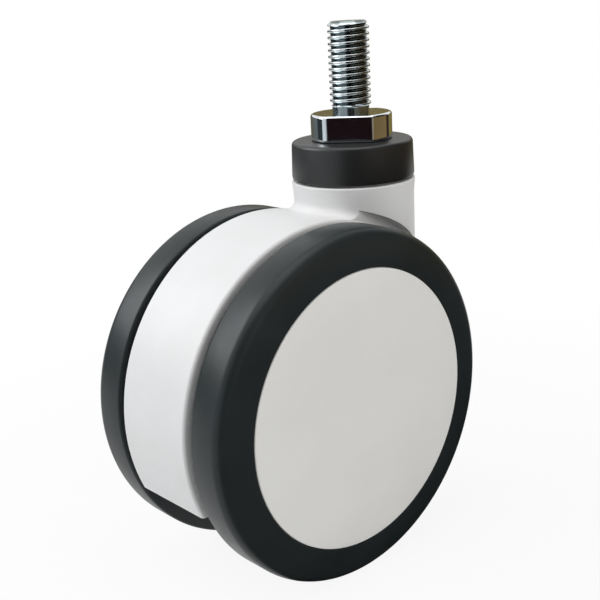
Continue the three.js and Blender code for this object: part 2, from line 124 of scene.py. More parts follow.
# %% [markdown]
# Nearly everything on a caster is round, because it is turned on a lathe or moulded in a turned
# cavity. The same is done here: half of the outline is drawn as a chain of points, each a radius
# and a height, and spun about the axis. A ring edge of the result can then be rounded with a
# bevel, which keeps the round even all the way round.

# %% Tools for spun pieces
SAME_PLACE = 1e-6
RING_TOLERANCE = 0.01
ROUND_PROFILE = 0.5


def spin_up(bm, parts, angle, steps, lift=0.0, merge=False):
    """Spins parts of a mesh about Z, lifting each step by that many metres."""
    bmesh.ops.spin(
        bm,
        geom=parts,
        cent=(0, 0, 0),
        axis=(0, 0, 1),
        dvec=(0, 0, lift),
        angle=angle,
        steps=steps,
        use_merge=merge,
        use_duplicate=False,
    )


def bevel(bm, parts, width, segments, affect="EDGES"):
    """Rounds edges, or corner points, that many millimetres from the corner on each side."""
    bmesh.ops.bevel(
        bm,
        geom=parts,
        offset=width * MM,
        offset_type="OFFSET",
        segments=segments,
        profile=ROUND_PROFILE,
        affect=affect,
        material=-1,
    )


def spin_outline(outline, sides, closed=True):
    """Spins (radius, height) points in millimetres about Z, and returns the mesh in the making."""
    bm = bmesh.new()
    chain = [bm.verts.new((radius * MM, 0, height * MM)) for radius, height in outline]
    lines = [bm.edges.new(pair) for pair in zip(chain, chain[1:])]
    if closed:
        lines.append(bm.edges.new((chain[-1], chain[0])))
    spin_up(bm, chain + lines, WHOLE_TURN, sides, merge=True)
    bmesh.ops.remove_doubles(bm, verts=bm.verts, dist=SAME_PLACE)
    bmesh.ops.recalc_face_normals(bm, faces=bm.faces)
    return bm


def on_ring(vertex, radius, height):
    """Whether a vertex lies on the ring of that radius and height, about Z."""
    across = math.hypot(vertex.co.x, vertex.co.y) / MM
    away = max(abs(across - radius), abs(vertex.co.z / MM - height))
    return away < RING_TOLERANCE


def round_ring(bm, radius, height, width, segments):
    """Rounds the ring edge at that radius and height."""
    edges = [e for e in bm.edges if all(on_ring(v, radius, height) for v in e.verts)]
    bevel(bm, edges, width, segments)


def lay_on_axle(bm, side=1):
    """Turns a piece spun about Z so that its height runs along Y on the axle, on either side."""
    laid_over = Matrix.Rotation(-side * math.pi / 2, 3, "X")
    bmesh.ops.rotate(bm, verts=bm.verts, cent=(0, 0, 0), matrix=laid_over)
    bmesh.ops.translate(bm, verts=bm.verts, vec=(axle_x * MM, 0, axle_z * MM))


# %% [markdown]
# A finished piece goes into the scene as an object at the origin, with its place in its mesh. It
# rides on the body that carries it in the engineering model, takes the place of the plain node
# and names the finish it is made in. Faces are shaded smoothly, except across edges sharper than
# the crease angle.
#
# Solids are joined and cut by a Boolean modifier with the Manifold solver, which takes only closed
# meshes and gives a closed one back. The Exact solver can lose the drum where very thin slivers
# lie on it. Each volume is printed, so a lost part shows at once.

# %% Tools for finished pieces
CREASE = math.radians(32)


def mesh_object(name, bm):
    """Puts a finished mesh into the scene."""
    mesh = bpy.data.meshes.new(name)
    bm.to_mesh(mesh)
    bm.free()
    piece = bpy.data.objects.new(name, mesh)
    bpy.context.scene.collection.objects.link(piece)
    return piece


def finish_piece(piece, body, node, material):
    """Shades a piece, gives it its material and ties it to the engineering model."""
    piece.data.shade_smooth()
    piece.data.set_sharp_from_angle(angle=CREASE)
    piece.data.materials.clear()
    piece.data.materials.append(material)
    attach(piece, body)
    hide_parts(node)
    print(f"{piece.name}: {len(piece.data.polygons)} faces on {body}")


def keep_flats_flat(piece):
    """Weighs shading by face area, so that a small round doesn't bend the shading of its flats."""
    modifier = piece.modifiers.new("even_shading", "WEIGHTED_NORMAL")
    modifier.keep_sharp = True


def combine(piece, other, operation):
    """Joins two closed pieces or keeps their difference, and measures the solid that is left."""
    modifier = piece.modifiers.new("combine", "BOOLEAN")
    modifier.object = other
    modifier.operation = operation
    modifier.solver = "MANIFOLD"
    result = bpy.data.meshes.new_from_object(
        piece.evaluated_get(bpy.context.evaluated_depsgraph_get())
    )
    piece.modifiers.clear()
    piece.data = result
    bpy.data.objects.remove(other)
    measured = bmesh.new()
    measured.from_mesh(result)
    open_edges = sum(1 for e in measured.edges if not e.is_manifold)
    volume = measured.calc_volume() / MM**3
    print(f"{piece.name}: {volume:.0f} mm3 after {operation.lower()}, open edges {open_edges}")
    measured.free()
    return piece


# %% [markdown]
# ## Finishes
#
# Each finish is a small network of nodes on one shader. Moulded plastic isn't perfectly even: it
# has a faint mottle where the melt cooled, and a fine spark-eroded grain from the mould. Both
# come from noise on the object's own coordinates, which are metres here, so a scale of 1000 is
# about one wave to the millimetre. The base colour moves between two close shades, the roughness
# wanders a little, and the grain goes into a bump.


# %% A network of nodes for moulded and turned finishes
def new_finish(name, **sockets):
    """A material with one shader, whose even values are set on its own sockets."""
    material = bpy.data.materials.new(name)
    material.use_nodes = True
    shader = material.node_tree.nodes["Principled BSDF"]
    for socket, value in sockets.items():
        shader.inputs[socket.replace("_", " ")].default_value = value
    return material, material.node_tree, shader


SCREEN_WHITE = 255
CURVE_POWER = 2.4
CURVE_OFFSET = 0.055
DARKEST_ON_CURVE = 10
DARK_DIVISOR = 3295


def linear(red, green, blue):
    """A colour as seen on a screen, 0 to 255, as the linear light that shaders work in."""
    light = []
    for value in (red, green, blue):
        if value > DARKEST_ON_CURVE:
            share = (value / SCREEN_WHITE + CURVE_OFFSET) / (1 + CURVE_OFFSET)
            light.append(share**CURVE_POWER)
        else:
            light.append(value / DARK_DIVISOR)
    return light + [1]


def noise(tree, scale, detail=3, roughness=0.5, stretch=(1, 1, 1)):
    """Noise on the object's coordinates, stretched along an axis by a smaller factor."""
    place = tree.nodes.new("ShaderNodeTexCoord")
    mapping = tree.nodes.new("ShaderNodeMapping")
    mapping.inputs["Scale"].default_value = stretch
    texture = tree.nodes.new("ShaderNodeTexNoise")
    texture.inputs["Scale"].default_value = scale
    texture.inputs["Detail"].default_value = detail
    texture.inputs["Roughness"].default_value = roughness
    tree.links.new(place.outputs["Object"], mapping.inputs["Vector"])
    tree.links.new(mapping.outputs["Vector"], texture.inputs["Vector"])
    return texture.outputs["Fac"]


def ramp(tree, value, low, high, first, second):
    """Turns a value between low and high into a colour between two colours."""
    node = tree.nodes.new("ShaderNodeValToRGB")
    node.color_ramp.elements[0].position = low
    node.color_ramp.elements[0].color = first
    node.color_ramp.elements[1].position = high
    node.color_ramp.elements[1].color = second
    tree.links.new(value, node.inputs["Fac"])
    return node.outputs["Color"]


def spread(tree, value, first, second):
    """Turns a value between 0 and 1 into a number between two numbers."""
    node = tree.nodes.new("ShaderNodeMapRange")
    node.inputs["To Min"].default_value = first
    node.inputs["To Max"].default_value = second
    tree.links.new(value, node.inputs["Value"])
    return node.outputs["Result"]


def bump(tree, shader, height, depth_mm, strength, below=None):
    """Adds a bump of that depth to the shader, on top of an earlier one."""
    node = tree.nodes.new("ShaderNodeBump")
    node.inputs["Distance"].default_value = depth_mm * MM
    node.inputs["Strength"].default_value = strength
    tree.links.new(height, node.inputs["Height"])
    if below is not None:
        tree.links.new(below, node.inputs["Normal"])
    tree.links.new(node.outputs["Normal"], shader.inputs["Normal"])
    return node.outputs["Normal"]


MOTTLE_SCALE = 60
MOTTLE_SPAN = (0.35, 0.65)
GLOSS_SCALE = 260
GRAIN_SCALE = 3200
BUMP_STRENGTH = 0.5


def moulded(name, pale, dark, rough, grain_depth, **sockets):
    """Moulded plastic or rubber: a faint mottle, an uneven gloss and a fine grain."""
    material, tree, shader = new_finish(name, **sockets)
    mottle = noise(tree, MOTTLE_SCALE, detail=4)
    tree.links.new(ramp(tree, mottle, *MOTTLE_SPAN, dark, pale), shader.inputs["Base Color"])
    gloss = noise(tree, GLOSS_SCALE, detail=3)
    tree.links.new(spread(tree, gloss, *rough), shader.inputs["Roughness"])
    bump(tree, shader, noise(tree, GRAIN_SCALE, detail=2), grain_depth, BUMP_STRENGTH)
    return material


# %% [markdown]
# The nylon of the housing and the hub covers is a slightly warm white. The covers get a lighter
# copy of it, as painted light on their shaded side. The tyre is a nearly black rubber with a soft
# sheen, and the cap is a darker, glossier plastic. Numbers written as three values up to 255 are
# the colours that such a plastic shows in even light.

# %% Plastics and rubber
nylon = moulded(
    "white_nylon",
    pale=linear(235, 235, 235),
    dark=linear(232, 231, 230),
    rough=(0.42, 0.52),
    grain_depth=0.006,
    Specular_IOR_Level=0.4,
)
# Painted light: the hub covers' nylon is a lighter copy of the housing's, to brighten their shaded
# side.
cover_nylon_painted_light = moulded(
    "cover_nylon_painted_light",
    pale=linear(243, 242, 239),
    dark=linear(240, 239, 235),
    rough=(0.45, 0.55),
    grain_depth=0.006,
    Specular_IOR_Level=0.3,
)
rubber = moulded(
    "tyre_rubber",
    pale=linear(39, 45, 47),
    dark=linear(34, 40, 41),
    rough=(0.3, 0.42),
    grain_depth=0.012,
    Specular_IOR_Level=0.27,
)
cap_plastic = moulded(
    "cap_plastic",
    pale=linear(31, 32, 33),
    dark=linear(26, 27, 28),
    rough=(0.36, 0.44),
    grain_depth=0.008,
    Specular_IOR_Level=0.5,
)
core_plastic = moulded(
    "core_plastic",
    pale=linear(44, 45, 46),
    dark=linear(38, 39, 40),
    rough=(0.5, 0.62),
    grain_depth=0.012,
    Specular_IOR_Level=0.4,
)
bush_plastic = moulded(
    "bush_plastic",
    pale=linear(176, 168, 148),
    dark=linear(164, 156, 136),
    rough=(0.35, 0.45),
    grain_depth=0.004,
    Specular_IOR_Level=0.5,
)
plastics = (nylon, cover_nylon_painted_light, rubber, cap_plastic, core_plastic, bush_plastic)
print("plastics:", ", ".join(material.name for material in plastics))

# %% [markdown]
# The stem is steel with a thin bright zinc plating: a cool, almost mirror-like metal, with the
# faint waviness of a barrel-plated part. The thread gets a second zinc finish, a darker copy of the
# first as painted shade, and it darkens further near the root radius as painted shade in the
# grooves. The bearing rings and the axle are ground steel, which is darker and carries fine
# grinding lines.


# %% Painted shade in the thread roots
def painted_root_shade(tree, tint, radius, reach, shade):
    """Darkens a tint near a radius about Z, in millimetres, as painted shade in a thread's grooves.
    """
    place = tree.nodes.new("ShaderNodeTexCoord")
    outwards = tree.nodes.new("ShaderNodeVectorMath")
    outwards.operation = "MULTIPLY"
    outwards.inputs[1].default_value = (1 / MM, 1 / MM, 0)
    from_axis = tree.nodes.new("ShaderNodeVectorMath")
    from_axis.operation = "LENGTH"
    span = tree.nodes.new("ShaderNodeMapRange")
    span.inputs["From Min"].default_value = radius - reach
    span.inputs["From Max"].default_value = radius + reach
    shades = tree.nodes.new("ShaderNodeValToRGB")
    shades.color_ramp.elements[0].color = (1, 1, 1, 1)
    shades.color_ramp.elements[1].color = (1, 1, 1, 1)
    shades.color_ramp.elements.new(0.5).color = shade
    darkened = tree.nodes.new("ShaderNodeMix")
    darkened.data_type = "RGBA"
    darkened.blend_type = "MULTIPLY"
    darkened.inputs["Factor"].default_value = 1
    tree.links.new(place.outputs["Object"], outwards.inputs[0])
    tree.links.new(outwards.outputs["Vector"], from_axis.inputs[0])
    tree.links.new(from_axis.outputs["Value"], span.inputs["Value"])
    tree.links.new(span.outputs["Result"], shades.inputs["Fac"])
    tree.links.new(tint, darkened.inputs["A"])
    tree.links.new(shades.outputs["Color"], darkened.inputs["B"])
    return darkened.outputs["Result"]


# %% Metals
TINT_SCALE = 140
TINT_SPAN = (0.3, 0.7)
METAL_GLOSS_SCALE = 420
LINE_SCALE = 1000
LINE_DEPTH = 0.002
LINE_STRENGTH = 0.4
ALONG_Z = (0.6, 0.6, 6)
ALONG_Y = (1, 8, 1)
# Where the painted shade in the thread roots lies and how far it reaches, in millimetres.
SHADED_ROOT_RADIUS = 5.1
SHADED_ROOT_REACH = 0.5


def metal(name, pale, dark, rough, wave_scale, wave_depth, line_stretch, roots=None):
    """Bright metal: two close tints, uneven gloss, soft waves and fine tool lines."""
    material, tree, shader = new_finish(name, Metallic=1.0)
    tint = ramp(tree, noise(tree, TINT_SCALE, detail=3), *TINT_SPAN, dark, pale)
    # Painted shade near the thread roots, when it is asked for.
    if roots:
        tint = painted_root_shade(tree, tint, *roots)
    tree.links.new(tint, shader.inputs["Base Color"])
    gloss = noise(tree, METAL_GLOSS_SCALE, detail=3)
    tree.links.new(spread(tree, gloss, *rough), shader.inputs["Roughness"])
    waves = bump(tree, shader, noise(tree, wave_scale, detail=1), wave_depth, BUMP_STRENGTH)
    lines = noise(tree, LINE_SCALE, detail=2, stretch=line_stretch)
    bump(tree, shader, lines, LINE_DEPTH, LINE_STRENGTH, below=waves)
    return material


zinc = metal(
    "zinc_plated_steel",
    pale=linear(232, 236, 240),
    dark=linear(214, 220, 224),
    rough=(0.06, 0.12),
    wave_scale=500,
    wave_depth=0.02,
    line_stretch=ALONG_Z,
)
# Painted shade: the thread's zinc is a darker copy of the collar's, and darker still near its roots.
shaded_thread_zinc = metal(
    "zinc_thread_painted_shade",
    pale=linear(214, 220, 222),
    dark=linear(176, 184, 186),
    rough=(0.12, 0.22),
    wave_scale=900,
    wave_depth=0.03,
    line_stretch=ALONG_Z,
    roots=(SHADED_ROOT_RADIUS, SHADED_ROOT_REACH, linear(116, 130, 134)),
)
steel = metal(
    "bearing_steel",
    pale=linear(178, 180, 184),
    dark=linear(158, 160, 165),
    rough=(0.2, 0.32),
    wave_scale=300,
    wave_depth=0.004,
    line_stretch=ALONG_Y,
)
print("metals:", ", ".join(material.name for material in (zinc, shaded_thread_zinc, steel)))

# %% [markdown]
# ## The threaded stem
#
# The stem is one forged and rolled piece of steel: an M12 thread, a smooth relief under it, a
# round collar with flats for the spanner, a shoulder and the kingpin that runs down the neck.
#
# A thread could be faked with stacked rings or a bump, but its silhouette and its slope show, so
# it is made the way a thread is: the outline of one ridge is spun about the axis and lifted by
# one pitch for each turn. The top row of one turn lands on the bottom row of the next, where
# merging the doubles closes the surface. The ends are then turned down by pulling in every point
# that lies outside the blank.

# %% The ridge, spun up a helix
THREAD_PITCH = 1.75
THREAD_CREST = 5.9
THREAD_ROOT = 5.05
RELIEF_RADIUS = 5.3
RELIEF_END = 2.3
STEM_CHAMFER = 1
TURN_STEPS = 72
RIDGE = [
    (0.03, 0.0),
    (0.15, 0.0),
    (0.22, 0.12),
    (0.42, 0.8),
    (0.48, 0.94),
    (0.56, 1.0),
    (0.7, 1.0),
    (0.78, 0.94),
    (0.84, 0.8),
    (0.96, 0.12),
    (1.03, 0.0),
]
TURNS_BELOW = 2
TURNS_ABOVE = 2
stem_top = stem_high[2]
thread_start = -TURNS_BELOW * THREAD_PITCH
thread_turns = math.ceil(stem_top / THREAD_PITCH) + TURNS_BELOW + TURNS_ABOVE

thread = bmesh.new()
ridge_depth = THREAD_CREST - THREAD_ROOT
chain = [
    thread.verts.new(
        ((THREAD_ROOT + ridge_depth * depth) * MM, 0, (thread_start + THREAD_PITCH * share) * MM)
    )
    for share, depth in RIDGE
]
lines = [thread.edges.new(pair) for pair in zip(chain, chain[1:])]
spin_up(
    thread,
    chain + lines,
    WHOLE_TURN * thread_turns,
    TURN_STEPS * thread_turns,
    lift=THREAD_PITCH * MM / TURN_STEPS,
)
bmesh.ops.remove_doubles(thread, verts=thread.verts, dist=SAME_PLACE)
print("thread:", thread_turns, "turns,", len(thread.verts), "points")

# %% Turn down the ends, trim and close them
RUN_OUT_START = 1.7
INSIDE_RELIEF = 0.1
thread_foot = RUN_OUT_START - 1
for vertex in thread.verts:
    radius = math.hypot(vertex.co.x, vertex.co.y)
    height = vertex.co.z / MM
    top_limit = THREAD_CREST - STEM_CHAMFER + max(stem_top - height, -THREAD_PITCH)
    foot_limit = RELIEF_RADIUS - INSIDE_RELIEF + max(height - RUN_OUT_START, 0)
    limit = min(top_limit, foot_limit) * MM
    if radius > limit:
        vertex.co.x *= limit / radius
        vertex.co.y *= limit / radius
for height, outwards in ((stem_top, 1), (thread_foot, -1)):
    bmesh.ops.bisect_plane(
        thread,
        geom=thread.verts[:] + thread.edges[:] + thread.faces[:],
        plane_co=(0, 0, height * MM),
        plane_no=(0, 0, outwards),
        clear_outer=True,
    )
    rim = [
        e
        for e in thread.edges
        if e.is_boundary and all(abs(v.co.z - height * MM) < SAME_PLACE for v in e.verts)
    ]
    bmesh.ops.edgeloop_fill(thread, edges=rim)
bmesh.ops.recalc_face_normals(thread, faces=thread.faces)
print("open edges:", sum(1 for e in thread.edges if not e.is_manifold))

# %% [markdown]
# The relief, the shoulder and the kingpin are one spun outline, with a groove near the lower end
# for the retaining ring. The collar is a turned disc with two flats for a 19 mm spanner, and its
# edges are well rounded by the forging. Cutting a finished disc with a flat bar would leave hard
# corners, so its section is made first: a circle, cut off at the flats, with its four corners
# bevelled as points. The section is then raised, and one bevel rounds both rims.

# %% Relief, shoulder and kingpin
COLLAR_HEIGHT = 7.6
SHOULDER_RADIUS = 8.5
SHANK_RADIUS = 6
SHOULDER_FOOT = -11.6
SHANK_CHAMFER = 0.6
GROOVE_DEPTH = 0.4
GROOVE_ABOVE_TIP = 1.9
GROOVE_WIDTH = 1.25
RELIEF_CHAMFER = 0.2
PIN_SIDES = 96
groove_low = stem_low[2] + GROOVE_ABOVE_TIP
groove_high = groove_low + GROOVE_WIDTH

pin_outline = [
    (0, stem_low[2]),
    (SHANK_RADIUS - SHANK_CHAMFER, stem_low[2]),
    (SHANK_RADIUS, stem_low[2] + SHANK_CHAMFER),
    (SHANK_RADIUS, groove_low),
    (SHANK_RADIUS - GROOVE_DEPTH, groove_low),
    (SHANK_RADIUS - GROOVE_DEPTH, groove_high),
    (SHANK_RADIUS, groove_high),
    (SHANK_RADIUS, SHOULDER_FOOT),
    (SHOULDER_RADIUS, SHOULDER_FOOT),
    (SHOULDER_RADIUS, -COLLAR_HEIGHT / 2),
    (RELIEF_RADIUS, -COLLAR_HEIGHT / 2),
    (RELIEF_RADIUS, RELIEF_END - RELIEF_CHAMFER),
    (RELIEF_RADIUS - RELIEF_CHAMFER, RELIEF_END),
    (0, RELIEF_END),
]
pin = mesh_object("pin", spin_outline(pin_outline, PIN_SIDES, closed=False))
print(f"kingpin from {stem_low[2]:.1f} mm up to the collar")

# %% Collar
COLLAR_RADIUS = 11.75
COLLAR_FLATS = 19
COLLAR_EDGE = 0.8
COLLAR_CORNER = 1.3
COLLAR_SIDES = 160
COLLAR_TURN = math.radians(38.9)

section = bmesh.new()
bmesh.ops.create_circle(
    section,
    cap_ends=True,
    segments=COLLAR_SIDES,
    radius=COLLAR_RADIUS * MM,
    matrix=Matrix.Translation((0, 0, -COLLAR_HEIGHT * MM)),
)
for side in (-1, 1):
    bmesh.ops.bisect_plane(
        section,
        geom=section.verts[:] + section.edges[:] + section.faces[:],
        plane_co=(side * COLLAR_FLATS / 2 * MM, 0, 0),
        plane_no=(side, 0, 0),
        clear_outer=True,
    )
corners = [v for v in section.verts if abs(abs(v.co.x) - COLLAR_FLATS / 2 * MM) < SAME_PLACE]
bevel(section, corners, COLLAR_CORNER, segments=8, affect="VERTICES")
bmesh.ops.remove_doubles(section, verts=section.verts, dist=RING_TOLERANCE * MM)
print("collar section:", len(section.verts), "points")
raised = bmesh.ops.extrude_face_region(section, geom=section.faces[:])["geom"]
bmesh.ops.translate(
    section,
    verts=[part for part in raised if isinstance(part, bmesh.types.BMVert)],
    vec=(0, 0, COLLAR_HEIGHT * MM),
)
bmesh.ops.recalc_face_normals(section, faces=section.faces)
rims = [e for e in section.edges if abs(e.verts[0].co.z - e.verts[1].co.z) < SAME_PLACE]
bevel(section, rims, COLLAR_EDGE, segments=6)
bmesh.ops.rotate(
    section, verts=section.verts, cent=(0, 0, 0), matrix=Matrix.Rotation(COLLAR_TURN, 3, "Z")
)
print("open edges:", sum(1 for e in section.edges if not e.is_manifold))
collar = mesh_object("collar", section)
keep_flats_flat(collar)

stem = combine(mesh_object("stem", thread), pin, "UNION")
# The stem's finish carries painted shade on the thread; the collar keeps the plain zinc.
finish_piece(stem, "stem", "threaded_stem", shaded_thread_zinc)
finish_piece(collar, "stem", "threaded_stem", zinc)

# %% [markdown]
# ## The dust cap
#
# The cap is a moulded ring that turns with the stem and keeps hair and dust out of the swivel
# bearing. Only its top face and its tapered wall show, with a soft round between them.

# %% Dust cap
CAP_SIDES = 128
cap_radius = cap_high[0]
CAP_BORE = 8.55
CAP_WALL = 1.9
CAP_TOP = 2.4
CAP_TAPER = 0.3
CAP_FOOT = 0.8
CAP_FOOT_IN = 0.2
CAP_EDGE = 1.1
CAP_FOOT_EDGE = 0.15

cap_outline = [
    (cap_radius - CAP_WALL, cap_low[2]),
    (cap_radius - CAP_FOOT_IN, cap_low[2]),
    (cap_radius, cap_low[2] + CAP_FOOT),
    (cap_radius - CAP_TAPER, cap_high[2]),
    (CAP_BORE, cap_high[2]),
    (CAP_BORE, cap_high[2] - CAP_TOP),
    (cap_radius - CAP_WALL, cap_high[2] - CAP_TOP),
]
cap = spin_outline(cap_outline, CAP_SIDES)
round_ring(cap, cap_radius - CAP_TAPER, cap_high[2], CAP_EDGE, segments=6)
round_ring(cap, cap_radius - CAP_FOOT_IN, cap_low[2], CAP_FOOT_EDGE, segments=2)
finish_piece(mesh_object("cap", cap), "stem", "dust_cap", cap_plastic)

# %% [markdown]
# ## The housing
#
# The housing is one moulding: a drum between the wheels, closed at the top and open below, and a
# round neck that stands on it over the swivel axis. The neck is wider than the drum, so its sides
# are arched over the two wheels. Inside, a web, three ribs and a boss carry the axle.
#
# It could be modelled as one cage of faces under a subdivision, but a cage has no exact circles,
# and every circle here runs next to another one. So each round part is spun on its own, its edges
# are rounded while they are still plain rings, and the parts are then joined and cut as solids.

# %% Drum
DRUM_SIDES = 240
DRUM_WALL = 3
DRUM_EDGE = 0.9
SMALL_EDGE = 0.5
drum_inner = drum_radius - DRUM_WALL

drum = spin_outline(
    [
        (drum_inner, -DRUM_HALF),
        (drum_radius, -DRUM_HALF),
        (drum_radius, DRUM_HALF),
        (drum_inner, DRUM_HALF),
    ],
    DRUM_SIDES,
)
for height in (-DRUM_HALF, DRUM_HALF):
    round_ring(drum, drum_radius, height, DRUM_EDGE, segments=6)
    round_ring(drum, drum_inner, height, SMALL_EDGE, segments=3)
lay_on_axle(drum)
housing = mesh_object("housing_shell", drum)
print(f"drum: {len(housing.data.polygons)} faces, {2 * DRUM_HALF:.1f} mm wide")

# %% Web, boss and ribs
WEB_HALF = 2
BOSS_RADIUS = 11
BOSS_HALF = 13.5
BOSS_SIDES = 64
AXLE_BORE = 5.05
RIB_THICKNESS = 2.2
RIB_HALF = 12.7
RIB_START = 8.05
RIB_ANGLES = (90, 135, 180)
COLUMN_FOOT = -50.95
INTO_RIM = drum_inner + DRUM_WALL / 4
ACCESS_X = -11.6


def disc(radius, low, high, sides):
    """A plain turned disc on the axle, between two distances along Y."""
    bm = spin_outline([(0, low), (radius, low), (radius, high), (0, high)], sides, closed=False)
    lay_on_axle(bm)
    return mesh_object("disc", bm)


def block(low, high, turn=0.0):
    """A box between two corners in millimetres, turned about the axle by an angle."""
    bm = bmesh.new()
    bmesh.ops.create_cube(bm, size=1)
    size = [b - a for a, b in zip(low, high)]
    middle = [(a + b) / 2 for a, b in zip(low, high)]
    bmesh.ops.scale(bm, verts=bm.verts, vec=[s * MM for s in size])
    bmesh.ops.translate(bm, verts=bm.verts, vec=[m * MM for m in middle])
    if turn:
        bmesh.ops.rotate(bm, verts=bm.verts, cent=(0, 0, 0), matrix=Matrix.Rotation(-turn, 3, "Y"))
        bmesh.ops.translate(bm, verts=bm.verts, vec=(axle_x * MM, 0, axle_z * MM))
    return mesh_object("block", bm)


web = combine(
    disc(INTO_RIM, -WEB_HALF, WEB_HALF, DRUM_SIDES),
    block(
        (ACCESS_X, -2 * WEB_HALF, axle_z - drum_radius),
        (drum_radius, 2 * WEB_HALF, COLUMN_FOOT + 1),
    ),
    "DIFFERENCE",
)
boss = spin_outline(
    [(0, -BOSS_HALF), (BOSS_RADIUS, -BOSS_HALF), (BOSS_RADIUS, BOSS_HALF), (0, BOSS_HALF)],
    BOSS_SIDES,
    closed=False,
)
for height in (-BOSS_HALF, BOSS_HALF):
    round_ring(boss, BOSS_RADIUS, height, SMALL_EDGE, segments=3)
lay_on_axle(boss)
combine(housing, web, "UNION")
combine(housing, mesh_object("boss", boss), "UNION")
for angle in RIB_ANGLES:
    rib = block(
        (RIB_START, -RIB_HALF, -RIB_THICKNESS / 2),
        (INTO_RIM, RIB_HALF, RIB_THICKNESS / 2),
        turn=math.radians(angle),
    )
    combine(housing, rib, "UNION")
print("drum, web, boss and ribs:", len(housing.data.polygons), "faces")

# %% [markdown]
# The neck flows into the drum with a hollow round of about 3 mm, which keeps the moulding strong
# there. A bevel can't make it, because the joint between a cylinder and a drum isn't a plain
# ring. Its cross-section is drawn as heights above the drum instead, spun through the part of a
# turn that faces the drum's back, and every point is then lifted onto the drum's surface.

# %% Neck column
NECK_SIDES = 192
NECK_RADIUS = 18.05
NECK_FOOT_RADIUS = 17.65
NECK_TOP = -18.95
NECK_TAPER_FROM = -23.3
SPIGOT_RADIUS = 15.75
SPIGOT_TOP = -11
NECK_EDGE = 0.6

neck_outline = [
    (0, COLUMN_FOOT),
    (NECK_FOOT_RADIUS, COLUMN_FOOT),
    (NECK_FOOT_RADIUS, NECK_TAPER_FROM),
    (NECK_RADIUS, NECK_TOP),
    (SPIGOT_RADIUS, NECK_TOP),
    (SPIGOT_RADIUS, SPIGOT_TOP),
    (0, SPIGOT_TOP),
]
column = spin_outline(neck_outline, NECK_SIDES, closed=False)
round_ring(column, NECK_RADIUS, NECK_TOP, NECK_EDGE, segments=4)
round_ring(column, NECK_FOOT_RADIUS, COLUMN_FOOT, SMALL_EDGE, segments=3)
neck = mesh_object("neck", column)
print("neck:", len(neck.data.polygons), "faces")

# %% The hollow round between neck and drum
HOLLOW = 2.8
HOLLOW_STEPS = 10
HOLLOW_REACH = math.radians(64)
HOLLOW_TURN_STEPS = 112
HOLLOW_CORE = 2
HOLLOW_DEPTH = 2
SUNK = 0.02


def drum_height(x, y):
    """How high the drum's surface lies at a place seen from above, its rounded edge included."""
    past = max(abs(y) - (DRUM_HALF - DRUM_EDGE), 0)
    radius = drum_radius - DRUM_EDGE + math.sqrt(max(DRUM_EDGE**2 - past**2, 0))
    return axle_z + math.sqrt(radius**2 - (x - axle_x) ** 2)


hollow_outline = [(HOLLOW_CORE, -HOLLOW_DEPTH), (NECK_FOOT_RADIUS + HOLLOW, -HOLLOW_DEPTH)]
for step in range(HOLLOW_STEPS + 1):
    angle = step / HOLLOW_STEPS * math.pi / 2
    hollow_outline.append(
        (
            NECK_FOOT_RADIUS - SUNK + HOLLOW * (1 - math.sin(angle)),
            HOLLOW * (1 - math.cos(angle)) - SUNK,
        )
    )
hollow_outline.append((HOLLOW_CORE, HOLLOW - SUNK))

hollow = bmesh.new()
chain = [hollow.verts.new((-radius * MM, 0, height * MM)) for radius, height in hollow_outline]
lines = [hollow.edges.new(pair) for pair in zip(chain, chain[1:] + chain[:1])]
bmesh.ops.rotate(
    hollow, verts=hollow.verts, cent=(0, 0, 0), matrix=Matrix.Rotation(-HOLLOW_REACH, 3, "Z")
)
ends = bmesh.ops.contextual_create(hollow, geom=lines)["faces"][:1]
spin_up(hollow, ends, 2 * HOLLOW_REACH, HOLLOW_TURN_STEPS)
bmesh.ops.remove_doubles(hollow, verts=hollow.verts, dist=SAME_PLACE)
for vertex in hollow.verts:
    within = max(-DRUM_HALF, min(DRUM_HALF, vertex.co.y / MM))
    vertex.co.z += drum_height(vertex.co.x / MM, within) * MM
bmesh.ops.recalc_face_normals(hollow, faces=hollow.faces)
combine(neck, mesh_object("hollow", hollow), "UNION")
print("neck with its hollow round:", len(neck.data.polygons), "faces")

# %% Arch the neck over the wheels and join it on
ARCH_RADIUS = 53.2
ARCH_WALL = 13.2
for low, high in ((ARCH_WALL, 2 * DRUM_HALF), (-2 * DRUM_HALF, -ARCH_WALL)):
    combine(neck, disc(ARCH_RADIUS, low, high, DRUM_SIDES), "DIFFERENCE")
combine(housing, neck, "UNION")

# %% [markdown]
# The bores are cut last. From the top down they hold the swivel bearing on its ledge, clear the
# kingpin and hold its lower bush. The drum is cut off flat below, where the mould opens and where
# a fitter reaches the ring on the kingpin.

# %% Bores and the lower opening
SEAT_RADIUS = 14.05
LEDGE_RADIUS = 10.85
LEDGE_Z = -19.7
LEDGE_RELIEF = 1.5
SHANK_BORE = 6.2
BUSH_BORE = 8.05
BUSH_TOP = -42.85
SKIRT_Z = -96
BORE_SIDES = 96
BELOW_SKIRT = ((-130, -40, -180), (60, 40, SKIRT_Z))

bore_outline = [
    (0, COLUMN_FOOT - 1),
    (BUSH_BORE, COLUMN_FOOT - 1),
    (BUSH_BORE, BUSH_TOP),
    (SHANK_BORE, BUSH_TOP),
    (SHANK_BORE, LEDGE_Z - LEDGE_RELIEF),
    (LEDGE_RADIUS, LEDGE_Z - LEDGE_RELIEF),
    (LEDGE_RADIUS, LEDGE_Z),
    (SEAT_RADIUS, LEDGE_Z),
    (SEAT_RADIUS, SPIGOT_TOP + 1),
    (0, SPIGOT_TOP + 1),
]
bore = spin_outline(bore_outline, BORE_SIDES, closed=False)
combine(housing, mesh_object("bore", bore), "DIFFERENCE")
combine(housing, disc(AXLE_BORE, -2 * DRUM_HALF, 2 * DRUM_HALF, BOSS_SIDES), "DIFFERENCE")
combine(housing, block(*BELOW_SKIRT), "DIFFERENCE")

